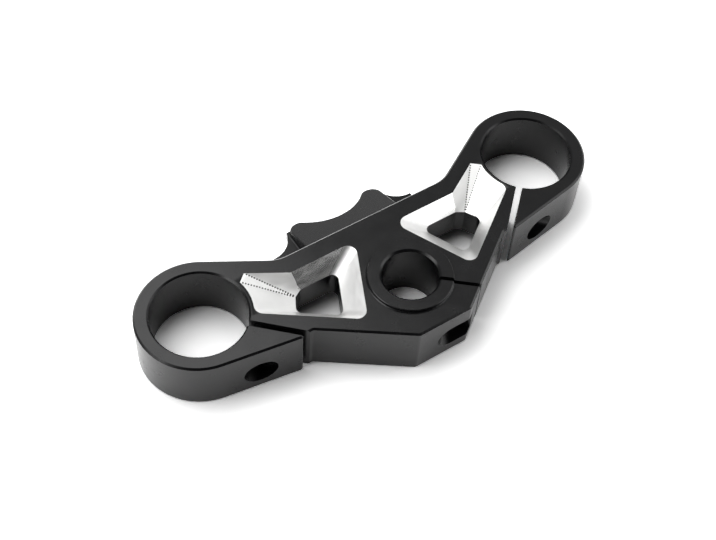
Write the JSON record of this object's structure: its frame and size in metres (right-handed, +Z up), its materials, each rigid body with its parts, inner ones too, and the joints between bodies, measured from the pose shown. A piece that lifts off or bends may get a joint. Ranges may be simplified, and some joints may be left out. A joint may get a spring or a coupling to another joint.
{
  "type": "motorcycle triple clamp",
  "caption": "Milled upper fork yoke with split clamping rings for the fork legs, a split stem bore, tapered open pockets and a lugged steering lock bracket.",
  "frame": {"origin": "steering stem axis at the flat underside", "axes": "+X along the line of the fork bores, +Y from the stem towards the steering lock bracket, +Z up along the stem"},
  "size_m": [0.2714, 0.1069, 0.033],
  "materials": {
    "black_anodised": "bead-blasted and black anodised, satin; pocket flanks milled bright afterwards"
  },
  "bodies": {
    "root": {"triple_clamp": "black_anodised"}
  },
  "joints": []
}
